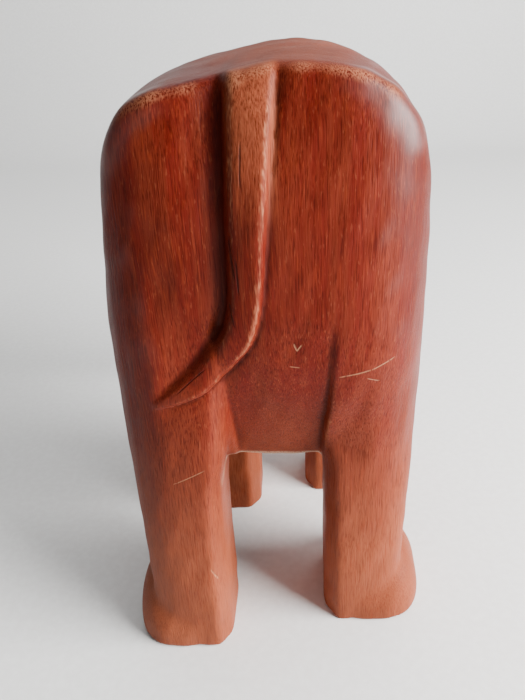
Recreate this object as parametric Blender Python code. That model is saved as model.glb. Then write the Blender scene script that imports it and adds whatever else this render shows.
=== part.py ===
"""Carved wooden elephant: one block of wood on four feet, two tusks pegged into its cheeks and two
eye beads let into its head.

Metres, +Z up. The head looks along -Y and the elephant's own left is +X. The origin lies on the
floor, under the middle of the whole figure.
"""

import math

import bmesh
import bpy
import numpy as np
from mathutils import Vector

# The block.
HEIGHT = 0.250            # floor to the crest of the back
TORSO_LENGTH = 0.160      # rump to chest
BODY_WIDTH = 0.119
BELLY_HEIGHT = 0.092      # floor to the underside of the belly
RUMP_DROP = 0.0040        # how far the edge between back and rump lies below the crest

# The legs. Spreads run from the middle plane to the leg's centre at the ankle.
HIND_LEG_WIDTH = 0.036
HIND_LEG_DEPTH = 0.046
HIND_SPREAD = 0.0395
FORE_LEG_WIDTH = 0.035
FORE_LEG_DEPTH = 0.040
FORE_SPREAD = 0.031
WHEELBASE = 0.086         # hind ankle to fore ankle
STRIDE = 0.016            # the left legs stand this far behind the right ones
FOOT_FLARE = 0.0045       # the foot stands proud of the ankle by this
TOE_REACH = 0.008         # and reaches forward by this
FOOT_HEIGHT = 0.030

# The head and what hangs from it.
HEAD_WIDTH = 0.082
HEAD_HEIGHT = 0.088
HEAD_LENGTH = 0.092
HEAD_DROP = 0.013         # top of the head below the crest of the back
TRUNK_ROOT_WIDTH = 0.050
TRUNK_TIP_WIDTH = 0.020
TRUNK_CLEARANCE = 0.016   # floor to the lowest point of the trunk
TRUNK_REACH = 0.026       # how far the trunk hangs in front of the face
EAR_HEIGHT = 0.094
EAR_LENGTH = 0.066
EAR_THICKNESS = 0.007
TAIL_ROOT_WIDTH = 0.019
TAIL_RELIEF = 0.0045      # how far the tail stands out of the rump

# What is let into the wood, each with a film of glue round it.
TUSK_DIAMETER = 0.0094
TUSK_LENGTH = 0.044       # outside the wood
TUSK_PEG_LENGTH = 0.012   # inside the wood
SHEATH_WALL = 0.0042      # wood round the tusk where it leaves the cheek
EYE_DIAMETER = 0.0062
EYE_DOME = 0.0012         # how far the bead stands out of its seat
EYE_PEG_LENGTH = 0.0045
GLUE_GAP = 0.0003

WOOD_COLOUR = (0.26, 0.055, 0.022)
TUSK_COLOUR = (0.78, 0.70, 0.53)
EYE_COLOUR = (0.012, 0.009, 0.008)

SIDES = {"left": 1, "right": -1}


def material(name, colour, roughness):
    made = bpy.data.materials.new(name)
    made.use_nodes = True
    shader = made.node_tree.nodes["Principled BSDF"]
    shader.inputs["Base Color"].default_value = (*colour, 1)
    shader.inputs["Roughness"].default_value = roughness
    shader.inputs["Metallic"].default_value = 0
    return made


def smooth_rows(stations, count):
    """Rows on a smooth curve through the stations, evenly spread, without overshoot between them."""
    rows = np.array(stations, float)
    knots = np.linspace(0, 1, len(rows))
    slopes = np.gradient(rows, knots, axis=0)
    steps = np.diff(rows, axis=0) / np.diff(knots)[:, None]
    turns = steps[:-1] * steps[1:] <= 0
    slopes[1:-1][turns] = 0
    limit = 3 * np.minimum(np.abs(steps[:-1]), np.abs(steps[1:]))
    slopes[1:-1] = np.clip(slopes[1:-1], -limit, limit)
    made = []
    for at in np.linspace(0, 1, count):
        i = min(int(at * (len(rows) - 1)), len(rows) - 2)
        width = knots[i + 1] - knots[i]
        t = (at - knots[i]) / width
        made.append(
            (1 + 2 * t) * (1 - t) ** 2 * rows[i]
            + t * (1 - t) ** 2 * width * slopes[i]
            + t * t * (3 - 2 * t) * rows[i + 1]
            + t * t * (t - 1) * width * slopes[i + 1]
        )
    return made


def ring(centre, across, up, power, sides):
    """A superellipse: power 2 is an ellipse, and a larger one is squarer."""
    points = []
    for i in range(sides):
        angle = 2 * math.pi * (i + 0.5) / sides
        c, s = math.cos(angle), math.sin(angle)
        points.append(
            centre
            + across * math.copysign(abs(c) ** (2 / power), c)
            + up * math.copysign(abs(s) ** (2 / power), s)
        )
    return points


def loft(name, rings):
    """A closed solid through rings of equally many points, with flat ends."""
    mesh = bmesh.new()
    loops = [[mesh.verts.new(p) for p in points] for points in rings]
    for near, far in zip(loops, loops[1:]):
        for i in range(len(near)):
            j = (i + 1) % len(near)
            mesh.faces.new((near[i], near[j], far[j], far[i]))
    mesh.faces.new(loops[0])
    mesh.faces.new(loops[-1])
    bmesh.ops.recalc_face_normals(mesh, faces=mesh.faces)
    data = bpy.data.meshes.new(name)
    mesh.to_mesh(data)
    mesh.free()
    made = bpy.data.objects.new(name, data)
    bpy.context.scene.collection.objects.link(made)
    made.parent = figure
    return made


def at(x, forward, z):
    """A point given by its distance forward of the rump."""
    return Vector((x, -forward, z))


def torso():
    half = BODY_WIDTH / 2
    # Distance forward, share of the half width, drop below the crest, rise above the belly, power.
    # The first rows close the rump; below the tail it slopes forward between the legs.
    stations = [
        (0.0035, 0.46, 0.030, 0.084, 3.2),
        (0.0050, 0.66, 0.011, 0.056, 3.5),
        (0.0085, 0.80, RUMP_DROP + 0.0005, 0.032, 3.6),
        (0.0150, 0.90, RUMP_DROP * 0.75, 0.012, 3.5),
        (0.0270, 0.98, RUMP_DROP * 0.45, 0.002, 3.4),
        (0.0480, 1.00, 0.001, 0.000, 3.1),
        (TORSO_LENGTH * 0.46, 1.00, 0.000, 0.000, 3.0),
        (TORSO_LENGTH * 0.61, 0.98, 0.003, 0.001, 2.8),
        (TORSO_LENGTH * 0.78, 0.93, 0.010, 0.006, 2.6),
        (TORSO_LENGTH * 0.91, 0.82, 0.021, 0.020, 2.5),
        (TORSO_LENGTH * 0.98, 0.66, 0.036, 0.038, 2.3),
        (TORSO_LENGTH, 0.45, 0.055, 0.056, 2.2),
    ]
    rings = []
    for forward, share, drop, rise, power in smooth_rows(stations, 30):
        top, bottom = HEIGHT - drop, BELLY_HEIGHT + rise
        rings.append(
            ring(
                at(0, forward, (top + bottom) / 2),
                Vector((half * share, 0, 0)),
                Vector((0, 0, (top - bottom) / 2)),
                power,
                36,
            )
        )
    return loft("torso_form", rings)


def leg(name, side, width, depth, spread, ankle, haunch):
    """A post from a flat sole up to its haunch or shoulder.

    ankle is the distance forward of the leg's centre there, and haunch holds the rows where the
    post swells and closes inside the torso: height, spread, half width, distance forward, half depth.
    """
    half_width, half_depth = width / 2, depth / 2
    foot = ankle + TOE_REACH / 2
    # Height, spread, half width, distance forward, half depth, power.
    stations = [
        (0.0, spread + 0.0035, half_width + 0.001, foot, half_depth + 0.0005, 2.6),
        (0.004, spread + 0.004, half_width + FOOT_FLARE, foot, half_depth + FOOT_FLARE, 2.7),
        (0.013, spread + 0.004, half_width + FOOT_FLARE, foot, half_depth + FOOT_FLARE, 2.8),
        (FOOT_HEIGHT, spread + 0.001, half_width, ankle + 0.001, half_depth, 3.0),
        (BELLY_HEIGHT * 0.55, spread, half_width - 0.0005, ankle, half_depth - 0.001, 3.2),
        (BELLY_HEIGHT * 0.95, spread, half_width + 0.0005, ankle, half_depth, 3.2),
    ] + [(z, x, half, forward, deep, 2.6) for z, x, half, forward, deep in haunch]
    rings = [
        ring(
            at(side * x, forward, z),
            Vector((side * half, 0, 0)),
            Vector((0, deep, 0)),
            power,
            20,
        )
        for z, x, half, forward, deep, power in smooth_rows(stations, 21)
    ]
    return loft(name, rings)


def hind_leg(name, side, ankle):
    outer = BODY_WIDTH / 2
    rise = HEIGHT - BELLY_HEIGHT
    haunch = [
        (BELLY_HEIGHT + rise * 0.26, outer - 0.0235, 0.0220, 0.0270, 0.0265),
        (BELLY_HEIGHT + rise * 0.50, outer - 0.0280, 0.0270, 0.0315, 0.0310),
        (BELLY_HEIGHT + rise * 0.70, outer - 0.0315, 0.0275, 0.0330, 0.0310),
        (BELLY_HEIGHT + rise * 0.84, outer - 0.0340, 0.0230, 0.0320, 0.0260),
        (BELLY_HEIGHT + rise * 0.90, outer - 0.0350, 0.0160, 0.0320, 0.0180),
    ]
    return leg(name, side, HIND_LEG_WIDTH, HIND_LEG_DEPTH, HIND_SPREAD, ankle, haunch)


def fore_leg(name, side, ankle):
    outer = BODY_WIDTH / 2
    rise = HEIGHT - BELLY_HEIGHT
    shoulder = HIND_LEG_DEPTH / 2 + WHEELBASE
    haunch = [
        (BELLY_HEIGHT + rise * 0.22, outer - 0.0235, 0.0205, shoulder, 0.0225),
        (BELLY_HEIGHT + rise * 0.45, outer - 0.0245, 0.0225, shoulder, 0.0250),
        (BELLY_HEIGHT + rise * 0.65, outer - 0.0270, 0.0205, shoulder + 0.001, 0.0240),
        (BELLY_HEIGHT + rise * 0.78, outer - 0.0300, 0.0130, shoulder + 0.002, 0.0160),
    ]
    return leg(name, side, FORE_LEG_WIDTH, FORE_LEG_DEPTH, FORE_SPREAD, ankle, haunch)


def head_length_at(share):
    """Distance forward of a place on the head, 0 at its back inside the neck and 1 at the brow."""
    return TORSO_LENGTH - 0.032 + HEAD_LENGTH * share


def head_height_at(share):
    """Height of a place on the head, 0 at its underside and 1 at its top."""
    return HEIGHT - HEAD_DROP - HEAD_HEIGHT * (1 - share)


def head():
    # Share of the length, middle as a share of the height, shares of half height and half width.
    stations = [
        (0.00, 0.46, 0.96, 1.04),
        (0.36, 0.49, 1.02, 1.00),
        (0.62, 0.51, 0.98, 0.93),
        (0.81, 0.49, 0.85, 0.82),
        (0.93, 0.45, 0.64, 0.64),
        (1.00, 0.42, 0.34, 0.38),
    ]
    rings = [
        ring(
            at(0, head_length_at(along), head_height_at(middle)),
            Vector((HEAD_WIDTH / 2 * wide, 0, 0)),
            Vector((0, 0, HEAD_HEIGHT / 2 * high)),
            2.3,
            28,
        )
        for along, middle, high, wide in smooth_rows(stations, 14)
    ]
    return loft("head_form", rings)


def trunk():
    brow, low = head_length_at(1), TRUNK_CLEARANCE + TRUNK_TIP_WIDTH / 2
    top = head_height_at(0.60)
    drop = top - low
    root, tip = TRUNK_ROOT_WIDTH / 2, TRUNK_TIP_WIDTH / 2
    # Distance forward, height, half width, half depth. The first rows lie inside the head.
    stations = [
        (brow - 0.044, top, root * 0.84, root * 0.84),
        (brow - 0.025, top - drop * 0.09, root, root * 0.98),
        (brow - 0.010, top - drop * 0.25, root * 0.94, root * 0.93),
        (brow + 0.001, top - drop * 0.43, root * 0.79, root * 0.79),
        (brow + TRUNK_REACH * 0.20, top - drop * 0.62, root * 0.63, root * 0.64),
        (brow + TRUNK_REACH * 0.24, top - drop * 0.80, tip * 1.30, tip * 1.32),
        (brow + TRUNK_REACH * 0.42, top - drop * 0.94, tip * 1.14, tip * 1.14),
        (brow + TRUNK_REACH * 0.84, top - drop * 1.00, tip, tip),
        (brow + TRUNK_REACH * 1.22, top - drop * 0.93, tip * 0.92, tip * 0.86),
    ]
    rows = smooth_rows(stations, 26)
    rings = []
    for i, (forward, z, half_width, half_depth) in enumerate(rows):
        before, after = rows[max(i - 1, 0)], rows[min(i + 1, len(rows) - 1)]
        along = at(0, after[0] - before[0], after[1] - before[1]).normalized()
        up = along.cross(Vector((1, 0, 0))).normalized()
        rings.append(
            ring(at(0, forward, z), Vector((half_width, 0, 0)), up * half_depth, 2.2, 20)
        )
    return loft("trunk_form", rings)


def lower_lip():
    back, front = head_length_at(0.62), head_length_at(0.93)
    high, low = head_height_at(0.16), head_height_at(-0.14)
    rings = [
        ring(
            at(0, back + (front - back) * t, high + (low - high) * t),
            Vector((TRUNK_ROOT_WIDTH * 0.34 * (1 - 0.62 * t), 0, 0)),
            Vector((0, 0.35, 1)) * TRUNK_ROOT_WIDTH * 0.26 * (1 - 0.62 * t),
            2.2,
            14,
        )
        for t in np.linspace(0, 1, 6)
    ]
    return loft("lip_form", rings)


def tusk_line(side):
    """Where the tusk leaves the cheek, and its direction there."""
    mouth = at(side * TRUNK_ROOT_WIDTH * 0.45, head_length_at(0.985), head_height_at(0.06))
    return mouth, at(side * 0.24, 0.72, -0.65).normalized()


def sheath(name, side):
    """The swelling of the cheek that holds the tusk."""
    mouth, out = tusk_line(side)
    across = out.cross(Vector((0, 0, 1))).normalized()
    up = across.cross(out)
    radius = TUSK_DIAMETER / 2 + SHEATH_WALL
    rings = []
    for t in np.linspace(0, 1, 6):
        size = radius * (1.9 - 0.9 * math.sqrt(t))
        rings.append(ring(mouth - out * 0.036 * (1 - t), across * size, up * size, 2.0, 20))
    return loft(name, rings)


def ear(name, side):
    """A leaf that lies back over the neck, thin at its rim, and leans out towards the rear."""
    front, top = head_length_at(0.50), HEIGHT - HEAD_DROP - 0.015
    # Shares of the ear's length, backwards, and of its height, downwards, round the rim.
    outline = [
        (0.00, 0.10),
        (0.22, 0.00),
        (0.60, -0.03),
        (0.92, 0.08),
        (1.00, 0.30),
        (0.93, 0.56),
        (0.74, 0.82),
        (0.50, 1.00),
        (0.30, 0.94),
        (0.16, 0.72),
        (0.06, 0.48),
        (-0.03, 0.26),
    ]
    middle = (0.46, 0.42)
    near, far = HEAD_WIDTH * 0.47, BODY_WIDTH / 2 - 0.0025
    rim = smooth_rows(outline + outline[:1], 33)[:-1]
    rings = []
    for scale, lift in ((0.25, 0.5), (0.80, 0.5), (1.0, 0.15), (1.0, -0.15), (0.80, -0.5), (0.25, -0.5)):
        points = []
        for back, down in rim:
            back = middle[0] + (back - middle[0]) * scale
            down = middle[1] + (down - middle[1]) * scale
            lean = near + (far - near) * max(back, 0) ** 0.8 - 0.004 * down
            points.append(
                at(side * (lean + EAR_THICKNESS * lift), front - EAR_LENGTH * back, top - EAR_HEIGHT * down)
            )
        rings.append(points)
    return loft(name, rings)


def tail():
    """A strip in relief that hangs down the rump and turns onto the left leg."""
    top, root = HEIGHT - RUMP_DROP - 0.0015, TAIL_ROOT_WIDTH / 2
    turn = BELLY_HEIGHT + (HEIGHT - BELLY_HEIGHT) * 0.40
    # Sideways, height, half width, how far it stands out.
    stations = [
        (0.0012, top, root * 0.90, 0.2),
        (0.0020, top - 0.018, root * 0.86, 0.9),
        (0.0036, top - 0.036, root * 0.78, 1.0),
        (0.0055, turn + 0.030, root * 0.70, 1.0),
        (0.0072, turn + 0.012, root * 0.66, 1.1),
        (0.0110, turn - 0.001, root * 0.68, 1.2),
        (HIND_SPREAD * 0.50, turn - 0.009, root * 0.64, 1.45),
        (HIND_SPREAD * 0.80, turn - 0.017, root * 0.46, 1.55),
        (HIND_SPREAD * 1.08, turn - 0.022, root * 0.20, 1.3),
    ]
    rows = smooth_rows(stations, 26)
    rings = []
    for i, (forward, z, half_width, half_depth) in enumerate(rows):
        before, after = rows[max(i - 1, 0)], rows[min(i + 1, len(rows) - 1)]
        along = at(0, after[0] - before[0], after[1] - before[1]).normalized()
        up = along.cross(Vector((1, 0, 0))).normalized()
        rings.append(
            ring(at(0, forward, z), Vector((half_width, 0, 0)), up * half_depth, 2.2, 20)
        )
    return loft("trunk_form", rings)


def lower_lip():
    back, front = head_length_at(0.62), head_length_at(0.93)
    high, low = head_height_at(0.16), head_height_at(-0.14)
    rings = [
        ring(
            at(0, back + (front - back) * t, high + (low - high) * t),
            Vector((TRUNK_ROOT_WIDTH * 0.34 * (1 - 0.62 * t), 0, 0)),
            Vector((0, 0.35, 1)) * TRUNK_ROOT_WIDTH * 0.26 * (1 - 0.62 * t),
            2.2,
            14,
        )
        for t in np.linspace(0, 1, 6)
    ]
    return loft("lip_form", rings)


def tusk_line(side):
    """Where the tusk leaves the cheek, and its direction there."""
    mouth = at(side * TRUNK_ROOT_WIDTH * 0.45, head_length_at(0.985), head_height_at(0.06))
    return mouth, at(side * 0.24, 0.72, -0.65).normalized()


def sheath(name, side):
    """The swelling of the cheek that holds the tusk."""
    mouth, out = tusk_line(side)
    across = out.cross(Vector((0, 0, 1))).normalized()
    up = across.cross(out)
    radius = TUSK_DIAMETER / 2 + SHEATH_WALL
    rings = []
    for t in np.linspace(0, 1, 6):
        size = radius * (1.9 - 0.9 * math.sqrt(t))
        rings.append(ring(mouth - out * 0.036 * (1 - t), across * size, up * size, 2.0, 20))
    return loft(name, rings)


def ear(name, side):
    """A leaf that lies back over the neck, thin at its rim, and leans out towards the rear."""
    front, top = head_length_at(0.50), HEIGHT - HEAD_DROP - 0.015
    # Shares of the ear's length, backwards, and of its height, downwards, round the rim.
    outline = [
        (0.00, 0.10),
        (0.22, 0.00),
        (0.60, -0.03),
        (0.92, 0.08),
        (1.00, 0.30),
        (0.93, 0.56),
        (0.74, 0.82),
        (0.50, 1.00),
        (0.30, 0.94),
        (0.16, 0.72),
        (0.06, 0.48),
        (-0.03, 0.26),
    ]
    middle = (0.46, 0.42)
    near, far = HEAD_WIDTH * 0.47, BODY_WIDTH / 2 - 0.0025
    rim = smooth_rows(outline + outline[:1], 33)[:-1]
    rings = []
    for scale, lift in ((0.25, 0.5), (0.80, 0.5), (1.0, 0.15), (1.0, -0.15), (0.80, -0.5), (0.25, -0.5)):
        points = []
        for back, down in rim:
            back = middle[0] + (back - middle[0]) * scale
            down = middle[1] + (down - middle[1]) * scale
            lean = near + (far - near) * max(back, 0) ** 0.8 - 0.004 * down
            points.append(
                at(side * (lean + EAR_THICKNESS * lift), front - EAR_LENGTH * back, top - EAR_HEIGHT * down)
            )
        rings.append(points)
    return loft(name, rings)


def tail():
    """A strip in relief that hangs down the rump and turns onto the left leg."""
    top, root = HEIGHT - RUMP_DROP - 0.0015, TAIL_ROOT_WIDTH / 2
    turn = BELLY_HEIGHT + (HEIGHT - BELLY_HEIGHT) * 0.26
    # Sideways, height, half width, how far it stands out.
    stations = [
        (0.0000, top, root, 0.2),
        (0.0000, top - 0.020, root * 0.90, 0.9),
        (0.0005, top - 0.045, root * 0.82, 1.0),
        (0.0010, turn + 0.028, root * 0.74, 1.0),
        (0.0025, turn + 0.012, root * 0.70, 1.1),
        (0.0090, turn - 0.002, root * 0.68, 1.2),
        (HIND_SPREAD * 0.48, turn - 0.010, root * 0.66, 1.45),
        (HIND_SPREAD * 0.76, turn - 0.016, root * 0.52, 1.55),
        (HIND_SPREAD * 0.99, turn - 0.021, root * 0.20, 1.3),
    ]
    rows = smooth_rows(stations, 26)
    buried = 0.016
    rings = []
    for i, (x, z, half, out) in enumerate(rows):
        before, after = rows[max(i - 1, 0)], rows[min(i + 1, len(rows) - 1)]
        along = Vector((after[0] - before[0], 0, after[1] - before[1])).normalized()
        across = along.cross(Vector((0, 1, 0)))
        surface = 0.0045 - TAIL_RELIEF * out
        rings.append(
            ring(
                at(x, surface + buried / 2, z),
                across * half,
                Vector((0, buried / 2, 0)),
                4.0,
                16,
            )
        )
    return loft("tail_form", rings)


def tusk(name, side):
    """A horn that sweeps up, with a straight round peg that the cheek's socket holds."""
    mouth, out = tusk_line(side)
    across = out.cross(Vector((0, 0, 1))).normalized()
    radius, bend = TUSK_DIAMETER / 2, math.radians(62)
    rings = []
    for depth in (TUSK_PEG_LENGTH, TUSK_PEG_LENGTH * 0.5, 0.0):
        rings.append(ring(mouth - out * depth, across * radius, across.cross(out) * radius, 2.0, 20))
    place, heading, steps = mouth.copy(), out.copy(), 12
    for i in range(1, steps + 1):
        turn = bend / steps
        heading = (heading * math.cos(turn) + across.cross(heading) * math.sin(turn)).normalized()
        place = place + heading * TUSK_LENGTH / steps
        size = radius * (1 - (i / steps) ** 1.7 * 0.84)
        rings.append(ring(place, across * size, across.cross(heading) * size, 2.0, 20))
    return loft(name, rings)


def tusk_socket(name, side):
    mouth, out = tusk_line(side)
    across = out.cross(Vector((0, 0, 1))).normalized()
    radius = TUSK_DIAMETER / 2 + GLUE_GAP
    deep = TUSK_PEG_LENGTH + GLUE_GAP
    rings = [
        ring(mouth - out * depth, across * radius, across.cross(out) * radius, 2.0, 24)
        for depth in (deep, -0.012)
    ]
    return loft(name, rings)


def eye_line(side):
    """The middle of the eye's seat on the side of the head, and the way it looks."""
    seat = at(side * HEAD_WIDTH / 2 * 0.815, head_length_at(0.765), head_height_at(0.60))
    return seat, at(side * 0.93, 0.33, 0.05).normalized()


def eye(name, side):
    """A bead with a domed face on a round peg."""
    seat, out = eye_line(side)
    across = out.cross(Vector((0, 0, 1))).normalized()
    up = across.cross(out)
    radius = EYE_DIAMETER / 2
    rings = [ring(seat - out * depth, across * radius, up * radius, 2.0, 20) for depth in (EYE_PEG_LENGTH, 0.0)]
    for share in (0.35, 0.65, 0.9):
        size = radius * math.sqrt(1 - share * share)
        rings.append(ring(seat + out * EYE_DOME * share, across * size, up * size, 2.0, 20))
    return loft(name, rings)


def eye_socket(name, side):
    seat, out = eye_line(side)
    across = out.cross(Vector((0, 0, 1))).normalized()
    up = across.cross(out)
    radius = EYE_DIAMETER / 2 + GLUE_GAP
    rings = [
        ring(seat - out * depth, across * radius, up * radius, 2.0, 24)
        for depth in (EYE_PEG_LENGTH + GLUE_GAP, -0.012)
    ]
    return loft(name, rings)


def helper(form):
    """A form that a Boolean joins to the block or cuts from it."""
    form.hide_render = True
    form.display_type = "WIRE"
    return form


def boolean(body, form, operation):
    modifier = body.modifiers.new(f"{operation.lower()} {form.name}", "BOOLEAN")
    modifier.operation = operation
    modifier.object = helper(form)


def carved_body():
    """The whole animal but its tusks and eyes, from one block."""
    body = torso()
    body.name = "carved_body"
    hind = HIND_LEG_DEPTH / 2 - 0.001
    forms = [head(), trunk(), lower_lip(), tail()]
    for word, side in SIDES.items():
        forward = 0 if word == "left" else STRIDE
        forms += [
            hind_leg(f"hind_leg_{word}_form", side, hind + forward),
            fore_leg(f"fore_leg_{word}_form", side, hind + WHEELBASE + forward),
            ear(f"ear_{word}_form", side),
            sheath(f"sheath_{word}_form", side),
        ]
    for form in forms:
        boolean(body, form, "UNION")
    for word, side in SIDES.items():
        boolean(body, tusk_socket(f"tusk_socket_{word}", side), "DIFFERENCE")
        boolean(body, eye_socket(f"eye_socket_{word}", side), "DIFFERENCE")
    return body


def centre_figure(parts):
    """Moves the whole figure so that the origin lies on the floor under the middle of its box."""
    bpy.context.view_layer.update()
    graph = bpy.context.evaluated_depsgraph_get()
    corners = []
    for part in parts:
        seen = part.evaluated_get(graph)
        corners += [seen.matrix_world @ Vector(corner) for corner in seen.bound_box]
    low = Vector([min(corner[i] for corner in corners) for i in range(3)])
    high = Vector([max(corner[i] for corner in corners) for i in range(3)])
    middle = (low + high) / 2
    figure.location = (-middle.x, -middle.y, -low.z)


for old in list(bpy.data.objects):
    bpy.data.objects.remove(old)
figure = bpy.data.objects.new("figure", None)
bpy.context.scene.collection.objects.link(figure)

wood = material("stained wood", WOOD_COLOUR, 0.38)
pale_wood = material("pale wood", TUSK_COLOUR, 0.35)
dark_bead = material("dark bead", EYE_COLOUR, 0.12)

parts = [carved_body()]
parts[0].data.materials.append(wood)
for word, side in SIDES.items():
    parts.append(tusk(f"tusk_{word}", side))
    parts[-1].data.materials.append(pale_wood)
    parts.append(eye(f"eye_{word}", side))
    parts[-1].data.materials.append(dark_bead)
centre_figure(parts)
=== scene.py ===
"""The looks of a carved wooden elephant: a stained block, two pale tusks and two dark eye beads."""

import math

import bmesh
import bpy
import numpy as np
from mathutils import Matrix, Vector


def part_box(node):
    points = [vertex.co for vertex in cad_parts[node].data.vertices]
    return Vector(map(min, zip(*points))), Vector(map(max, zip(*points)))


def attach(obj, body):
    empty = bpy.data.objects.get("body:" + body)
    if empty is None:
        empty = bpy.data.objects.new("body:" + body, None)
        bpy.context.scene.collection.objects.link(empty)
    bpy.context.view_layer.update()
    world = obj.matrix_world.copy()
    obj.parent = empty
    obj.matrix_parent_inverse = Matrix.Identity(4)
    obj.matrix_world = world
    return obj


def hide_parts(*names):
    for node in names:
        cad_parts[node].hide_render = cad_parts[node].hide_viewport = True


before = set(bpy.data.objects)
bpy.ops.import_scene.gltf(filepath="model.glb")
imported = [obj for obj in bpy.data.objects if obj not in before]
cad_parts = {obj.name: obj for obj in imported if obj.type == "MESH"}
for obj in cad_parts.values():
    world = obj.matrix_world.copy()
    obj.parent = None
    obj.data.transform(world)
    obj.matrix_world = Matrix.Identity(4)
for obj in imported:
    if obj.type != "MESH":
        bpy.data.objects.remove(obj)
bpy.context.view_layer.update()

# The torso.
# A block of close-grained hardwood, sawn to its outline and rounded with a knife. It is worked out as
# a grid of distances from the surface, sideways, forward of the rump and up, and meshed at the end.
CELL = 0.00095
block_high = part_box("carved_body")[1]
TAIL_PROUD = 0.0024
RUMP = block_high.y - TAIL_PROUD
HEIGHT = block_high.z + 0.0014
HALF_WIDTH = 0.0590
BELLY = 0.0920
TORSO_LENGTH = 0.160
OUTSIDE = 0.02


def steps(low, high):
    return np.arange(low, high, CELL, dtype=np.float32)


AXES = (steps(-0.0702, 0.0702), steps(-0.0066, 0.2640), steps(-0.0036, HEIGHT + 0.0060))
block = np.full([len(axis) for axis in AXES], OUTSIDE, np.float32)


def cells(low, high):
    """The cells between two corners, and where they are sideways, forward and up."""
    cut = tuple(slice(*np.searchsorted(axis, ends)) for axis, ends in zip(AXES, zip(low, high)))
    side, forward, up = (axis[part] for axis, part in zip(AXES, cut))
    return cut, side[:, None, None], forward[None, :, None], up[None, None, :]


def flow(stations, at):
    """The stations' other columns at each place in their first one, on curves without overshoot."""
    rows = np.array(stations, float)
    knots, values = rows[:, 0], rows[:, 1:]
    widths = np.diff(knots)[:, None]
    slopes = np.diff(values, axis=0) / widths
    level = slopes[:-1] * slopes[1:] <= 0
    total = slopes[:-1] + slopes[1:]
    inner = np.where(level, 0, 2 * slopes[:-1] * slopes[1:] / np.where(total == 0, 1, total))
    tangents = np.vstack([slopes[:1], inner, slopes[-1:]])
    at = np.asarray(at, float)
    i = np.clip(np.searchsorted(knots, at.ravel(), side="right") - 1, 0, len(knots) - 2)
    t = np.clip((at.ravel() - knots[i]) / widths[i, 0], 0, 1)[:, None]
    made = (
        (1 + 2 * t) * (1 - t) ** 2 * values[i]
        + t * (1 - t) ** 2 * widths[i] * tangents[i]
        + t * t * (3 - 2 * t) * values[i + 1]
        + t * t * (t - 1) * widths[i] * tangents[i + 1]
    )
    return [made[:, n].reshape(at.shape).astype(np.float32) for n in range(values.shape[1])]


def superellipse(across, up, power):
    """Below 0 inside: power 2 is an ellipse, and a larger one is squarer."""
    return (np.abs(across) ** power + np.abs(up) ** power) ** (1 / power) - 1


def distances(field):
    """A field that is 0 on a surface, as metres from that surface."""
    slope = np.sqrt(sum(part * part for part in np.gradient(field, CELL)))
    return np.clip(field / np.maximum(slope, 1), -OUTSIDE, OUTSIDE).astype(np.float32)


def join(one, other, blend):
    """Both together, with the corner between them filled over about that width."""
    overlap = np.maximum(blend - np.abs(one - other), 0)
    return np.minimum(one, other) - overlap * overlap / (4 * blend)


def keep_both(one, other, blend):
    """What lies in both, with its edge rounded over about that width."""
    return -join(-one, -other, blend)


def smooth_step(low, high, value):
    t = np.clip((value - low) / (high - low), 0, 1)
    return t * t * (3 - 2 * t)


# Height, what is taken off the left flank, what is left on the right one.
FLANKS = [
    (0.030, 0.0000, 0.0000),
    (0.080, -0.0006, 0.0012),
    (0.120, -0.0019, 0.0016),
    (0.155, -0.0021, 0.0013),
    (0.185, 0.0000, 0.0004),
    (0.210, 0.0028, 0.0000),
    (0.260, 0.0034, 0.0000),
]


def flank(side, up):
    """Sideways, on the uneven flanks: more is cut off the left one above, and less off the right below."""
    left, right = flow(FLANKS, up)
    return side + np.where(side > 0, left, right) * smooth_step(0.024, 0.046, np.abs(side))


# Forward, share of the half width, drop below the crest, rise above the belly, squareness.
TORSO = [
    (0.000, 0.985, 0.0036, 0.000, 3.3),
    (0.012, 0.995, 0.0026, 0.000, 3.3),
    (0.027, 1.000, 0.0014, 0.000, 3.3),
    (0.048, 1.000, 0.0002, 0.000, 3.2),
    (TORSO_LENGTH * 0.46, 1.000, 0.0000, 0.000, 3.0),
    (TORSO_LENGTH * 0.61, 0.980, 0.0030, 0.001, 2.8),
    (TORSO_LENGTH * 0.78, 0.930, 0.0100, 0.006, 2.6),
    (TORSO_LENGTH * 0.91, 0.820, 0.0210, 0.020, 2.5),
    (TORSO_LENGTH * 0.98, 0.660, 0.0360, 0.038, 2.3),
    (TORSO_LENGTH, 0.450, 0.0550, 0.056, 2.2),
]
# How far forward the rump's face lies: by height, and added to it by distance from the middle.
RUMP_PROFILE = [
    (0.080, 0.0330),
    (0.095, 0.0240),
    (0.105, 0.0190),
    (0.120, 0.0130),
    (0.135, 0.0080),
    (0.150, 0.0048),
    (0.165, 0.0034),
    (0.200, 0.0028),
    (0.225, 0.0034),
    (0.242, 0.0050),
    (0.256, 0.0080),
]
RUMP_CORNER = [
    (0.000, 0.0000),
    (0.026, 0.0004),
    (0.037, 0.0020),
    (0.0455, 0.0055),
    (0.0525, 0.0118),
    (0.0580, 0.0225),
    (0.0640, 0.0420),
]

cut, side, forward, up = cells((-1, -1, -1), (1, 0.166, 1))
share, drop, rise, power = flow(TORSO, forward)
top, bottom = HEIGHT - drop, BELLY + rise
low_middle = np.exp(-((side / 0.015) ** 2)) * (1 - smooth_step(BELLY + 0.004, BELLY + 0.030, up))
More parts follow.
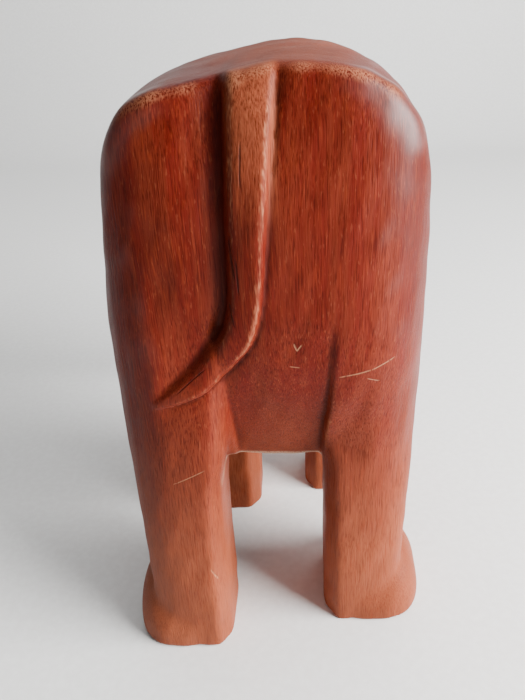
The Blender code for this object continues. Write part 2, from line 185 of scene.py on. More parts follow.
# The crest is lower on its left half, between the tail and the shoulder.
left_crest = 0.0036 * smooth_step(-0.012, 0.022, side) * (1 - smooth_step(0.026, 0.050, side))
left_crest = left_crest * smooth_step(0.190, 0.240, up)
level = (up + 0.0018 * low_middle + left_crest - (top + bottom) / 2) / ((top - bottom) / 2)
torso = distances(superellipse(flank(side, up) / (HALF_WIDTH * share), level, power))
face = flow(RUMP_PROFILE, up)[0] + flow(RUMP_CORNER, np.abs(side))[0]
lean = np.sqrt(1 + sum(part * part for part in np.gradient(face[:, 0, :], CELL)))[:, None, :]
block[cut] = keep_both(torso, (face - forward) / lean, 0.0040)
block[cut] = keep_both(block[cut], forward - TORSO_LENGTH, 0.006)

# The legs.
# Four square posts that grow out of the block, each on a foot that swells forward and outward. The
# knife left a narrow flat down the inner edge of each post. The left legs stand behind the right ones.
STRIDE = 0.0160
INNER_FLAT = {"hind": 0.0226, "fore": 0.0195}
FOOT_FORWARD, FOOT_OUTWARD, FOOT_HALF_WIDTH, FOOT_HEIGHT = 0.0048, 0.0066, 0.0222, 0.0330
NAIL_HEIGHT, NAIL_PROUD = 0.0068, 0.0010
# Height, distance from the middle, half width, distance forward, half depth, squareness.
HIND_POST = [
    (-0.010, 0.0400, 0.0180, 0.0215, 0.0225, 3.0),
    (0.030, 0.0400, 0.0182, 0.0215, 0.0225, 3.2),
    (0.055, 0.0398, 0.0180, 0.0218, 0.0220, 3.4),
    (0.090, 0.0398, 0.0190, 0.0228, 0.0228, 3.4),
    (0.115, 0.0388, 0.0212, 0.0245, 0.0235, 3.1),
    (0.140, 0.0375, 0.0218, 0.0280, 0.0250, 2.8),
    (0.165, 0.0360, 0.0200, 0.0320, 0.0265, 2.6),
    (0.190, 0.0330, 0.0170, 0.0350, 0.0255, 2.4),
    (0.215, 0.0300, 0.0120, 0.0360, 0.0180, 2.2),
]
FORE_POST = [
    (-0.010, 0.0305, 0.0170, 0.1095, 0.0180, 2.8),
    (0.030, 0.0305, 0.0172, 0.1095, 0.0182, 3.0),
    (0.055, 0.0310, 0.0170, 0.1090, 0.0185, 3.2),
    (0.090, 0.0325, 0.0175, 0.1085, 0.0195, 3.2),
    (0.125, 0.0350, 0.0205, 0.1090, 0.0225, 2.8),
    (0.163, 0.0352, 0.0225, 0.1090, 0.0250, 2.6),
    (0.195, 0.0330, 0.0205, 0.1100, 0.0240, 2.6),
    (0.216, 0.0295, 0.0130, 0.1110, 0.0160, 2.4),
]
TOENAILS = {"hind": (-48, -16, 16, 48), "fore": (-60, -30, 0, 30, 60)}

for hand in (1, -1):
    back = 0 if hand > 0 else STRIDE
    for place, post in (("hind", HIND_POST), ("fore", FORE_POST)):
        ankle = post[2][3] + back
        low = (-1, ankle - 0.045, -1) if hand < 0 else (0.004, ankle - 0.045, -1)
        high = (-0.004, ankle + 0.055, 0.225) if hand < 0 else (1, ankle + 0.055, 0.225)
        cut, side, forward, up = cells(low, high)
        leg_side, half_width, middle, half_depth, power = flow(post, up)
        out = flank(side, up) * hand - leg_side
        on = forward - middle - back
        power = np.where(out < 0, power + 2.4, power)
        leg = distances(superellipse(out / half_width, on / half_depth, power))
        leg = keep_both(leg, up - post[-1][0], 0.01)
        # The flat along the inner rear edge.
        corner = -out * 0.82 - on * 0.57 - INNER_FLAT[place] * (half_width / half_width[0, 0, 1])
        leg = keep_both(leg, corner, 0.0012)
        if place == "hind":
            # The rounded corner of the rump runs on down the leg.
            rounded = flow(RUMP_CORNER, np.abs(flank(side, up)))[0]
            rounded = rounded * (0.45 + 0.50 * smooth_step(0.045, 0.140, up))
            leg = keep_both(leg, middle - half_depth + back + rounded - forward, 0.0030)
        # The foot.
        foot_on = forward - ankle - FOOT_FORWARD
        foot_out = side * hand - leg_side - FOOT_OUTWARD
        dome = (
            (np.abs(foot_out) / FOOT_HALF_WIDTH) ** 2.5
            + (np.abs(foot_on) / (half_depth[0, 0, 5] + FOOT_FORWARD)) ** 2.5
            + (np.maximum(up, 0) / FOOT_HEIGHT) ** 2.2
        ) ** (1 / 2.4) - 1
        foot = distances(dome)
        angle = np.degrees(np.arctan2(foot_out * 0.9, foot_on))
        for toe in TOENAILS[place]:
            nail = np.sqrt(((angle - toe) / 11.5) ** 2 + ((up - NAIL_HEIGHT) / 0.0058) ** 2)
            foot = foot - NAIL_PROUD * (1 - smooth_step(0.80, 1.05, nail))
            foot = foot + 0.0004 * np.exp(-(((nail - 1.14) / 0.12) ** 2))
        leg = join(leg, foot, 0.0022)
        leg = keep_both(leg, -up, 0.0014)
        # The crease is crisp along the inner side and filled along the flank.
        blend = 0.0026 + 0.0110 * smooth_step(0.026, 0.044, np.abs(side)) if place == "hind" else 0.007
        block[cut] = join(block[cut], leg, blend)

# The head.
# The neck is cut thinner than the torso. The forehead has two low domes over a hollow at each temple.
HEAD_LENGTH, HEAD_WIDTH, HEAD_HEIGHT = 0.092, 0.082, 0.088
HEAD_BACK, HEAD_TOP = TORSO_LENGTH - 0.032, HEIGHT - 0.013
# Forward, height of the middle, half height, half width.
HEAD = [
    (
        HEAD_BACK + HEAD_LENGTH * along,
        HEAD_TOP - HEAD_HEIGHT * (1 - middle),
        HEAD_HEIGHT / 2 * high,
        HEAD_WIDTH / 2 * wide,
    )
    for along, middle, high, wide in (
        (-0.12, 0.46, 0.60, 0.70),
        (0.06, 0.46, 0.94, 1.02),
        (0.36, 0.49, 1.02, 1.00),
        (0.62, 0.51, 0.98, 0.93),
        (0.81, 0.49, 0.85, 0.82),
        (0.93, 0.45, 0.64, 0.64),
        (1.00, 0.42, 0.34, 0.38),
    )
]


def ellipsoid(side, forward, up, centre, radii):
    near = [(part - at) / radius for part, at, radius in zip((side, forward, up), centre, radii)]
    return distances(np.sqrt(sum(part * part for part in near)) - 1)


cut, side, forward, up = cells((-0.056, HEAD_BACK - 0.012, 0.125), (0.056, 0.236, 1))
middle, half_height, half_width = flow(HEAD, forward)
head = distances(superellipse(side / half_width, (up - middle) / half_height, 2.3))
head = keep_both(head, forward - HEAD[-1][0], 0.005)
head = keep_both(head, HEAD_BACK - 0.004 - forward, 0.006)
aside = np.abs(side)
forehead = ellipsoid(aside, forward, up, (0.0125, 0.1890, 0.2170), (0.0180, 0.0220, 0.0210))
head = join(head, forehead, 0.018)
cheek = ellipsoid(aside, forward, up, (0.0270, 0.2020, 0.1730), (0.0150, 0.0200, 0.0150))
head = join(head, cheek, 0.012)
temple = ellipsoid(aside, forward, up, (0.0470, 0.1880, 0.2230), (0.0120, 0.0160, 0.0120))
head = keep_both(head, -temple, 0.010)
block[cut] = join(block[cut], head, 0.0070)

# The trunk.
# It leaves the forehead without a step, hangs, and curls forward at the tip. Cuts ring its front.
BROW = HEAD_BACK + HEAD_LENGTH
TRUNK_TOP, TRUNK_LOW = HEAD_TOP - HEAD_HEIGHT * 0.40, 0.0260
TRUNK_DROP = TRUNK_TOP - TRUNK_LOW
TRUNK_ROOT, TRUNK_TIP, TRUNK_REACH = 0.0250, 0.0100, 0.0260
# Share of the way, forward, height, half width, half depth.
TRUNK = [
    (0.00, BROW - 0.044, TRUNK_TOP, TRUNK_ROOT * 0.84, TRUNK_ROOT * 0.84),
    (0.11, BROW - 0.025, TRUNK_TOP - TRUNK_DROP * 0.09, TRUNK_ROOT, TRUNK_ROOT * 0.98),
    (0.24, BROW - 0.010, TRUNK_TOP - TRUNK_DROP * 0.25, TRUNK_ROOT * 0.94, TRUNK_ROOT * 0.93),
    (0.37, BROW + 0.001, TRUNK_TOP - TRUNK_DROP * 0.43, TRUNK_ROOT * 0.79, TRUNK_ROOT * 0.79),
    (0.52, BROW + TRUNK_REACH * 0.20, TRUNK_TOP - TRUNK_DROP * 0.62, TRUNK_ROOT * 0.63, TRUNK_ROOT * 0.64),
    (0.68, BROW + TRUNK_REACH * 0.24, TRUNK_TOP - TRUNK_DROP * 0.80, TRUNK_TIP * 1.30, TRUNK_TIP * 1.32),
    (0.82, BROW + TRUNK_REACH * 0.42, TRUNK_TOP - TRUNK_DROP * 0.94, TRUNK_TIP * 1.14, TRUNK_TIP * 1.14),
    (0.92, BROW + TRUNK_REACH * 0.84, TRUNK_TOP - TRUNK_DROP, TRUNK_TIP, TRUNK_TIP),
    (1.00, BROW + TRUNK_REACH * 1.22, TRUNK_TOP - TRUNK_DROP * 0.93, TRUNK_TIP * 0.92, TRUNK_TIP * 0.86),
]
cut, side, forward, up = cells((-0.034, 0.160, 0.004), (0.034, 1, 0.232))
way = np.linspace(0, 1, 260)
line_on, line_up, line_width, line_depth = flow(TRUNK, way)
run = np.concatenate([[0], np.cumsum(np.hypot(np.diff(line_on), np.diff(line_up)))])
apart = np.hypot(forward[0, :, :, None] - line_on, up[0, :, :, None] - line_up)
nearest = apart.argmin(-1)
off = apart.min(-1)
heading_on, heading_up = np.gradient(line_on), np.gradient(line_up)
# Which side of its line: above and in front, or below and behind.
ahead_of, above_of = forward[0] - line_on[nearest], up[0] - line_up[nearest]
front = ahead_of * -heading_up[nearest] + above_of * heading_on[nearest]
off = np.where(front > 0, off, -off).astype(np.float32)
trunk = distances(
    superellipse(side / line_width[nearest][None], (off / line_depth[nearest])[None], 2.2)
)
along = run[nearest]
RING_SPACING, RING_DEPTH = 0.0068, 0.00075
ring = np.abs((along / RING_SPACING) % 1 - 0.5) * 2
rings = (1 - smooth_step(0.0, 0.42, ring)) * smooth_step(0.030, 0.060, along)
rings = rings * smooth_step(0.006, 0.020, run[-1] - along)
wrap = smooth_step(-0.6, 0.5, off / line_depth[nearest])
trunk = trunk + (RING_DEPTH * rings * wrap)[None].astype(np.float32)
end_on, end_up = line_on[-1], line_up[-1]
past = (forward - end_on) * heading_on[-1] + (up - end_up) * heading_up[-1]
past = past / math.hypot(heading_on[-1], heading_up[-1])
# The tip is cut square across its own heading.
trunk = keep_both(trunk, np.where(way[nearest] > 0.90, past, -0.01).astype(np.float32), 0.0020)
for hand in (1, -1):
    opening = (hand * 0.0032, float(end_on) - 0.0005, float(end_up) + 0.0005)
    nostril = ellipsoid(side, forward, up, opening, (0.0021, 0.0052, 0.0030))
    trunk = keep_both(trunk, -nostril, 0.0010)
block[cut] = join(block[cut], trunk, 0.0060)

# The lower lip and the tusks' sheaths.
# All of it is left standing on the block. The lip is a short pointed roll behind the trunk, and each
# cheek swells into a round sheath whose flat end holds a tusk.
MOUTH_FORWARD = HEAD_BACK + HEAD_LENGTH * 0.985
MOUTH_UP = HEAD_TOP - HEAD_HEIGHT * 0.94
MOUTH_SIDE = 0.0225
TUSK_RADIUS = 0.0047
SHEATH_WALL, SHEATH_LENGTH = 0.0042, 0.036
TUSK_OUT = np.array([0.24, 0.72, -0.65]) / math.sqrt(0.24**2 + 0.72**2 + 0.65**2)

cut, side, forward, up = cells((-0.045, 0.165, 0.125), (0.045, 0.240, 0.200))
lip = OUTSIDE
for t in np.linspace(0, 1, 9):
    size = 1 - 0.62 * t
    centre = (0, HEAD_BACK + HEAD_LENGTH * (0.62 + 0.31 * t), HEAD_TOP - HEAD_HEIGHT * (0.84 + 0.30 * t))
    lip = np.minimum(lip, ellipsoid(side, forward, up, centre, (0.017 * size, 0.010 * size, 0.013 * size)))
patch = join(block[cut], lip, 0.005)
reach = [np.abs(side) - MOUTH_SIDE, forward - MOUTH_FORWARD, up - MOUTH_UP]
past = sum(part * heading for part, heading in zip(reach, TUSK_OUT))
beside = np.sqrt(np.maximum(sum(part * part for part in reach) - past * past, 0))
sheath_radius = (TUSK_RADIUS + SHEATH_WALL) * (1.9 - 0.9 * np.sqrt(np.clip(1 + past / SHEATH_LENGTH, 0, 1)))
sheath = keep_both(beside - sheath_radius, past, 0.0022)
sheath = keep_both(sheath, -past - SHEATH_LENGTH, 0.004)
patch = join(patch, sheath, 0.0060)
block[cut] = patch

# The ears.
# Thin leaves that lie back over the neck, with a raised rim and shallow folds inside it.
EAR_FRONT, EAR_TOP = HEAD_BACK + HEAD_LENGTH * 0.50, HEIGHT - 0.028
EAR_LENGTH, EAR_HEIGHT = 0.066, 0.094
# Round the rim: share of the length backward, share of the height downward.
EAR_RIM = [
    (0.00, 0.10),
    (0.22, 0.00),
    (0.60, -0.03),
    (0.92, 0.08),
    (1.00, 0.30),
    (0.93, 0.56),
    (0.74, 0.82),
    (0.50, 1.00),
    (0.30, 0.94),
    (0.16, 0.72),
    (0.06, 0.48),
    (-0.03, 0.26),
    (0.00, 0.10),
]
cut, side, forward, up = cells((-1, 0.096, 0.118), (1, 0.184, 0.234))
rim = np.array(flow([(i, *p) for i, p in enumerate(EAR_RIM)], np.linspace(0, 12, 121))).T
rim_on, rim_up = EAR_FRONT - EAR_LENGTH * rim[:, 0], EAR_TOP - EAR_HEIGHT * rim[:, 1]
flat_on, flat_up = np.broadcast_arrays(forward[0], up[0])
edge = np.full(flat_on.shape, 1.0)
within = np.zeros(flat_on.shape, bool)
for a_on, a_up, b_on, b_up in zip(rim_on, rim_up, rim_on[1:], rim_up[1:]):
    d_on, d_up = b_on - a_on, b_up - a_up
    t = np.clip(((flat_on - a_on) * d_on + (flat_up - a_up) * d_up) / (d_on**2 + d_up**2), 0, 1)
    edge = np.minimum(edge, np.hypot(flat_on - a_on - t * d_on, flat_up - a_up - t * d_up))
    crosses = (a_up > flat_up) != (b_up > flat_up)
    within ^= crosses & (flat_on < a_on + (flat_up - a_up) * d_on / (d_up if abs(d_up) > 1e-9 else 1e-9))
edge = np.where(within, -edge, edge)
back = (EAR_FRONT - flat_on) / EAR_LENGTH
down = (EAR_TOP - flat_up) / EAR_HEIGHT
near, far = HEAD_WIDTH * 0.47, 0.0570
sheet = near + (far - near) * np.clip(back, 0, 1.2) ** 0.8 - 0.004 * down
fan = np.arctan2(back - 0.05, 0.25 + down) * 5.2
sheet = sheet + 0.0017 * np.sin(fan * 2.0 + 0.6) * smooth_step(0.15, 0.8, np.hypot(back, down * 0.8))
rim_lift = 0.0011 * np.exp(-(((edge + 0.0032) / 0.0020) ** 2))
for hand in (1, -1):
    out = side * hand - sheet[None]
    ear = np.where(out > 0, out - 0.0030 - rim_lift[None], -out - 0.0034)
    ear = keep_both(ear, np.broadcast_to(edge[None], ear.shape), 0.0042)
    block[cut] = join(block[cut], ear.astype(np.float32), 0.0020)

# The eyes' seats.
# Each bead sits in a shallow hollow between two carved lids, under a brow.
EYE_OUT = np.array([0.93, 0.33, 0.05]) / math.sqrt(0.93**2 + 0.33**2 + 0.05**2)
EYE = (HEAD_WIDTH / 2 * 0.815, HEAD_BACK + HEAD_LENGTH * 0.765, HEAD_TOP - HEAD_HEIGHT * 0.40)
cut, side, forward, up = cells((-0.050, 0.178, 0.178), (0.050, 0.216, 0.226))
reach = [np.abs(side) - EYE[0], forward - EYE[1], up - EYE[2]]
past = sum(part * heading for part, heading in zip(reach, EYE_OUT))
turned = np.sqrt(np.maximum(sum(part * part for part in reach) - past * past, 0))
tall = reach[2] * 1.45
lids = np.hypot(turned, tall * 0.75)
patch = block[cut]
patch = patch - 0.0013 * np.exp(-(((lids - 0.0060) / 0.0013) ** 2)) * (np.abs(past) < 0.012)
patch = patch + 0.0006 * np.exp(-(((lids - 0.0092) / 0.0014) ** 2)) * (np.abs(past) < 0.012)
brow_run = (reach[1] / 0.013) ** 2
brow = np.exp(-(((reach[2] - 0.0125 + brow_run * 0.003) / 0.0032) ** 2) - brow_run)
patch = patch - 0.0012 * brow * (np.abs(past) < 0.014)
seat = ellipsoid(np.abs(side), forward, up, EYE, (0.0040, 0.0042, 0.0040))
block[cut] = keep_both(patch, -seat, 0.0012)

# The tail and the cuts on the rump.
# The tail is left standing between a deep cut on its left and a shallow one on its right, and it turns
# onto the left leg. All of it is one relief that moves the rear surface back or forward.
# Share of the way, sideways, height, half width, relief, depth of the left cut, of the right cut.
TAIL = [
    (0.00, 0.0012, 0.2570, 0.0080, 0.0000, 0.0046, 0.0004),
    (0.06, 0.0014, 0.2470, 0.0080, 0.0004, 0.0048, 0.0012),
    (0.15, 0.0022, 0.2340, 0.0078, 0.0024, 0.0046, 0.0014),
    (0.30, 0.0036, 0.2150, 0.0074, 0.0032, 0.0040, 0.0006),
    (0.45, 0.0050, 0.1940, 0.0068, 0.0034, 0.0034, 0.0004),
    (0.57, 0.0062, 0.1770, 0.0062, 0.0036, 0.0032, 0.0005),
    (0.66, 0.0090, 0.1640, 0.0060, 0.0034, 0.0030, 0.0008),
    (0.74, 0.0145, 0.1560, 0.0062, 0.0030, 0.0020, 0.0010),
    (0.84, 0.0235, 0.1455, 0.0056, 0.0024, 0.0013, 0.0009),
    (0.93, 0.0335, 0.1385, 0.0038, 0.0018, 0.0010, 0.0007),
    (1.00, 0.0425, 0.1335, 0.0014, 0.0004, 0.0002, 0.0002),
]
# Across the tail, from beyond its left edge at -1 to beyond its right one at 1: how much of the
# relief stands there, and how much of each cut.
TAIL_SECTION = [
    (-3.60, 0.00, 0.00, 0.00),
    (-2.80, 0.00, 0.12, 0.00),
    (-2.10, 0.00, 0.40, 0.00),
    (-1.55, 0.00, 0.74, 0.00),
    (-1.16, 0.00, 1.00, 0.00),
    (-1.00, 0.05, 0.82, 0.00),
    (-0.78, 0.34, 0.30, 0.00),
    (-0.50, 0.66, 0.00, 0.00),
    (0.10, 0.90, 0.00, 0.00),
    (0.66, 1.00, 0.00, 0.00),
    (0.86, 0.78, 0.00, 0.05),
    (0.98, 0.30, 0.00, 0.60),
    (1.06, 0.00, 0.00, 1.00),
    (1.30, 0.00, 0.00, 0.30),
    (1.90, 0.00, 0.00, 0.00),
]
cut, side, forward, up = cells((-1, -1, -1), (1, 0.046, 1))
rear_side, rear_up = np.broadcast_arrays(side[:, 0, :], up[0])
way = np.linspace(0, 1, 240)
tail = flow(TAIL, way)
apart = np.hypot(rear_side[:, :, None] - tail[0], rear_up[:, :, None] - tail[1])
nearest = apart.argmin(-1)
apart = apart.min(-1)
heading_side, heading_up = np.gradient(tail[0]), np.gradient(tail[1])
aside, above = rear_side - tail[0][nearest], rear_up - tail[1][nearest]
turned = aside * heading_up[nearest] - above * heading_side[nearest]
across = np.where(turned > 0, apart, -apart) / tail[2][nearest]
stands, left_cut, right_cut = flow(TAIL_SECTION, np.clip(across, -3.6, 1.9))
relief = stands * tail[3][nearest] - left_cut * tail[4][nearest] - right_cut * tail[5][nearest]


def knife_cut(route, width, depth):
    """A V cut along a route of places (sideways, height), deepest at the share of the way given last."""
    route = np.array(route)
    places = flow([(i, *p) for i, p in enumerate(route)], np.linspace(0, len(route) - 1, 90))
    gap = np.hypot(rear_side[:, :, None] - places[0], rear_up[:, :, None] - places[1])
    deep = places[2][gap.argmin(-1)]
    return depth * deep * np.clip(1 - gap.min(-1) / width, 0, 1)


# Between the legs the wood is cut back into a panel, with a step along the right leg.
# Height, depth of the panel.
PANEL_DEPTH = [(0.070, 0.0060), (0.100, 0.0048), (0.120, 0.0034), (0.145, 0.0014), (0.168, 0.0)]
# Height, left edge, right edge.
PANEL_EDGES = [
    (0.070, 0.0150, -0.0195),
    (0.110, 0.0146, -0.0205),
    (0.130, 0.0152, -0.0222),
    (0.168, 0.0180, -0.0236),
]
panel_depth = flow(PANEL_DEPTH, rear_up)[0]
left_edge, right_edge = flow(PANEL_EDGES, rear_up)
panel = smooth_step(-0.0015, 0.0005, rear_side - right_edge)
panel = panel * (1 - smooth_step(-0.0006, 0.0022, rear_side - left_edge))
relief = relief - panel_depth * panel
# The slit along the right leg, and the short cut where the tail turns.
LEG_SLIT = [
    (-0.0238, 0.170, 0.0),
    (-0.0234, 0.158, 0.8),
    (-0.0230, 0.146, 1.0),
    (-0.0221, 0.130, 0.8),
    (-0.0207, 0.112, 0.4),
]
TURN_CUT = [(0.0150, 0.172, 0.2), (0.0172, 0.161, 1.0), (0.0178, 0.157, 0.5)]
relief = relief - knife_cut(LEG_SLIT, 0.0018, 0.0007)
relief = relief - knife_cut(TURN_CUT, 0.0030, 0.0014)
fade = 1 - smooth_step(0.012, 0.040, AXES[1][cut[1]])
places = np.arange(len(fade))[None, :, None] + relief[:, None, :] * fade[None, :, None] / CELL
places = np.clip(places, 0, len(fade) - 1.001)
whole = places.astype(int)
part = (places - whole).astype(np.float32)
patch = block[cut]
here, beyond = (np.take_along_axis(patch, whole + n, 1) for n in (0, 1))
block[cut] = here * (1 - part) + beyond * part
# A little unevenness left by the knife and the sanding.
WAVES, WAVE_HEIGHT = 7, 0.00007
waves = np.random.default_rng(7)
side, forward, up = (axis.reshape(shape) for axis, shape in zip(AXES, ((-1, 1, 1), (1, -1, 1), (1, 1, -1))))
for _ in range(WAVES):
    pull = waves.normal(size=3) * (330, 330, 150)
    wave = np.sin(pull[0] * side + pull[1] * forward + pull[2] * up + waves.uniform(0, 6.28))
    block += (WAVE_HEIGHT * wave).astype(np.float32)


# Meshing the block.
# Each cell that the surface passes gets a point in the middle of where its edges are cut, and each
# cut edge of the grid gets a square between the four cells round it.
def surface(field):
    shape = np.array(field.shape) - 1
    inside = field < 0
    total = np.zeros((shape.prod(), 3))
    count = np.zeros(shape.prod())
    squares = []
    strides = np.array([shape[1] * shape[2], shape[2], 1])
    for axis in range(3):
        one = [slice(None)] * 3
        two = [slice(None)] * 3
        one[axis], two[axis] = slice(None, -1), slice(1, None)
        one, two = tuple(one), tuple(two)
        spots = np.argwhere(inside[one] != inside[two])
        start = field[one][tuple(spots.T)]
        end = field[two][tuple(spots.T)]
        points = spots.astype(float)
        points[:, axis] += start / (start - end)
        a, b = [n for n in range(3) if n != axis]
        inner = (spots[:, a] > 0) & (spots[:, b] > 0) & (spots[:, a] < shape[a]) & (spots[:, b] < shape[b])
        spots, points, start = spots[inner], points[inner], start[inner]
        base = spots @ strides
        ring = [base - strides[a] - strides[b], base - strides[b], base, base - strides[a]]
        for cell in ring:
            count += np.bincount(cell, minlength=len(count))
            for n in range(3):
                total[:, n] += np.bincount(cell, points[:, n], len(count))
        flip = (start < 0) == (axis != 1)
        ring = np.array(ring).T
        squares.append(np.where(flip[:, None], ring, ring[:, ::-1]))
    used = np.flatnonzero(count)
    number = np.zeros(len(count), int)
    number[used] = np.arange(len(used))
    return total[used] / count[used, None], number[np.vstack(squares)]


def mesh_of(name, points, squares):
    mesh = bpy.data.meshes.new(name)
    mesh.vertices.add(len(points))
    mesh.vertices.foreach_set("co", points.astype(np.float32).ravel())
    mesh.loops.add(squares.size)
    mesh.loops.foreach_set("vertex_index", squares.astype(np.int32).ravel())
    mesh.polygons.add(len(squares))
    mesh.polygons.foreach_set("loop_start", np.arange(0, squares.size, 4, dtype=np.int32))
    mesh.update(calc_edges=True)
    mesh.validate()
    return mesh


points, squares = surface(block)
places = np.array([axis[0] for axis in AXES]) + points * CELL
world = np.column_stack([places[:, 0], RUMP - places[:, 1], places[:, 2]])
carving = bpy.data.objects.new("carved_block", mesh_of("carved_block", world, squares[:, ::-1]))
bpy.context.scene.collection.objects.link(carving)


def settled(thing):
    """Puts what the thing's modifiers make in place of its mesh, and takes them off."""
    bpy.context.view_layer.update()
    graph = bpy.context.evaluated_depsgraph_get()
    made = bpy.data.meshes.new_from_object(thing.evaluated_get(graph))
    thing.modifiers.clear()
    thing.data = made
    return thing


BLOCK_TRIANGLES = 190000
soften = carving.modifiers.new("soften", "SMOOTH")
soften.factor = 0.5
soften.iterations = 2
thin = carving.modifiers.new("thin", "DECIMATE")
thin.ratio = min(1, BLOCK_TRIANGLES / (len(squares) * 2))
settled(carving)
carving.data.shade_smooth()


def mean_around(field, reach):
    """The field's mean over a cube that reaches so many cells each way."""
    for axis in range(3):
        pads = [(0, 0)] * 3
        pads[axis] = (reach + 1, reach)
        sums = np.cumsum(np.pad(field, pads, mode="edge"), axis, dtype=np.float64)
        size = field.shape[axis]
        width = 2 * reach + 1
        ends, starts = np.take(sums, range(width, width + size), axis), np.take(sums, range(size), axis)
        field = (ends - starts) / width
    return field.astype(np.float32)


def read_at(field, world):
    places = (np.column_stack([world[:, 0], RUMP - world[:, 1], world[:, 2]]) - [a[0] for a in AXES]) / CELL
    places = np.clip(places, 0, np.array(field.shape) - 1.001)
    whole = places.astype(int)
    part = places - whole
    total = 0
    for corner in np.ndindex(2, 2, 2):
        share = np.prod(np.where(corner, part, 1 - part), axis=1)
        total = total + share * field[tuple((whole + corner).T)]
    return total


# How far each place stands out or lies in a hollow, for the wear and for the shade painted into hollows.
world = np.empty(len(carving.data.vertices) * 3, np.float32)
carving.data.vertices.foreach_get("co", world)
world = world.reshape(-1, 3)
near = np.clip(block, -0.006, 0.006)
for name, reach in (("edges", 3), ("shape", 8)):
    found = (read_at(mean_around(near, reach), world) - read_at(near, world)) / (CELL * reach)
    carving.data.attributes.new(name, "FLOAT", "POINT").data.foreach_set("value", found.astype(np.float32))

# The stained wood.
# A red-brown stain under a worn half-gloss varnish. The grain stands upright, so its flecks run down
# the sides and show as dots on the back. Edges are rubbed pale. Shade is painted dark into the hollows
# and slits, and the top of the back is painted paler for the sky light it reflects.


class Signal:
    """A socket that sums can be written with."""

    def __init__(self, tree, socket):
        self.tree, self.socket = tree, socket

    def math(self, operation, *values):
        node = self.tree.nodes.new("ShaderNodeMath")
        node.operation = operation
        for place, value in zip(node.inputs, values):
            if isinstance(value, Signal):
                self.tree.links.new(value.socket, place)
            else:
                place.default_value = value
        return Signal(self.tree, node.outputs[0])

    def __add__(self, other):
        return self.math("ADD", self, other)

    __radd__ = __add__

    def __mul__(self, other):
        return self.math("MULTIPLY", self, other)

    __rmul__ = __mul__

    def __sub__(self, other):
        return self.math("SUBTRACT", self, other)

    def __rsub__(self, other):
        return self.math("SUBTRACT", other, self)

    def __truediv__(self, other):
        return self.math("DIVIDE", self, other)

    def within(self, low, high):
        """0 at low, 1 at high, with a soft start and end."""
        node = self.tree.nodes.new("ShaderNodeMapRange")
        node.interpolation_type = "SMOOTHSTEP"
        self.tree.links.new(self.socket, node.inputs["Value"])
        node.inputs["From Min"].default_value = low
        node.inputs["From Max"].default_value = high
        return Signal(self.tree, node.outputs[0])

    def clear(self):
        return self.math("MAXIMUM", self.math("MINIMUM", self, 1.0), 0.0)


class Finish:
    """A material and the means to add nodes to it."""

    def __init__(self, name):
        self.material = bpy.data.materials.new(name)
        self.material.use_nodes = True
        self.tree = self.material.node_tree
        self.shader = self.tree.nodes["Principled BSDF"]

    def node(self, kind, settings=(), out=0, **values):
        """Values go by socket name, with _ for a space, and in3 is the fourth socket."""
        made = self.tree.nodes.new(kind)
        for name, value in dict(settings).items():
            setattr(made, name, value)
        for name, value in values.items():
            numbered = name[:2] == "in" and name[2:].isdigit()
            self.put(made.inputs[int(name[2:]) if numbered else name.replace("_", " ")], value)
        return Signal(self.tree, made.outputs[out])

    def put(self, place, value):
        if isinstance(value, Signal):
            self.tree.links.new(value.socket, place)
        elif hasattr(value, "__len__") and len(value) == 3 and place.type == "RGBA":
            place.default_value = (*value, 1)
        else:
            place.default_value = value

    def finish(self, **values):
        for name, value in values.items():
            self.put(self.shader.inputs[name.replace("_", " ")], value)
        return self.material

    def place(self, scale=(1, 1, 1), shift=(0, 0, 0), warp=None):
        where = self.node("ShaderNodeTexCoord", out=3)
        if warp is not None:
            where = self.node("ShaderNodeVectorMath", {"operation": "ADD"}, in0=where, in1=warp)
        return self.node("ShaderNodeMapping", Vector=where, Scale=scale, Location=shift)

    def noise(self, where, detail=2.0, roughness=0.5):
        return self.node("ShaderNodeTexNoise", Vector=where, Scale=1.0, Detail=detail, Roughness=roughness)

    def mix(self, amount, one, other):
        """One colour where the amount is 0, and the other where it is 1."""
        settings = {"data_type": "RGBA", "blend_type": "MIX", "clamp_factor": True}
        return self.node("ShaderNodeMix", settings, out=2, in0=amount, in6=one, in7=other)


stain = Finish("stained_wood")
edges = stain.node("ShaderNodeAttribute", {"attribute_name": "edges"}, out=2)
form = stain.node("ShaderNodeAttribute", {"attribute_name": "shape"}, out=2)
parts = stain.node("ShaderNodeSeparateXYZ", Vector=stain.node("ShaderNodeTexCoord", out=3))
side_on, rearward, height = (Signal(stain.tree, socket) for socket in parts.socket.node.outputs)
behind = rearward.within(0.070, 0.085)
rear_face = rearward.within(0.1150, 0.1185)

drift = stain.noise(stain.place((40, 40, 14)), 1.0)
sway = stain.node("ShaderNodeCombineXYZ", X=(drift - 0.5) * 0.004, Y=(drift - 0.5) * -0.004, Z=0.0)
fine = stain.noise(stain.place((2500, 2500, 105), warp=sway), 2.0, 0.6)
fleck = stain.noise(stain.place((1900, 1900, 85), (3.1, 1.7, 0.4), warp=sway), 2.0, 0.55)
tick = stain.noise(stain.place((1500, 1500, 330), (7.3, 2.2, 9.1), warp=sway), 1.0, 0.5)
bands = stain.noise(stain.place((95, 95, 4), (1.3, 4.2, 2.2), warp=sway), 3.0, 0.55)
cloud = stain.noise(stain.place((26, 26, 16), (5.5, 0.3, 3.3)), 2.0, 0.5)

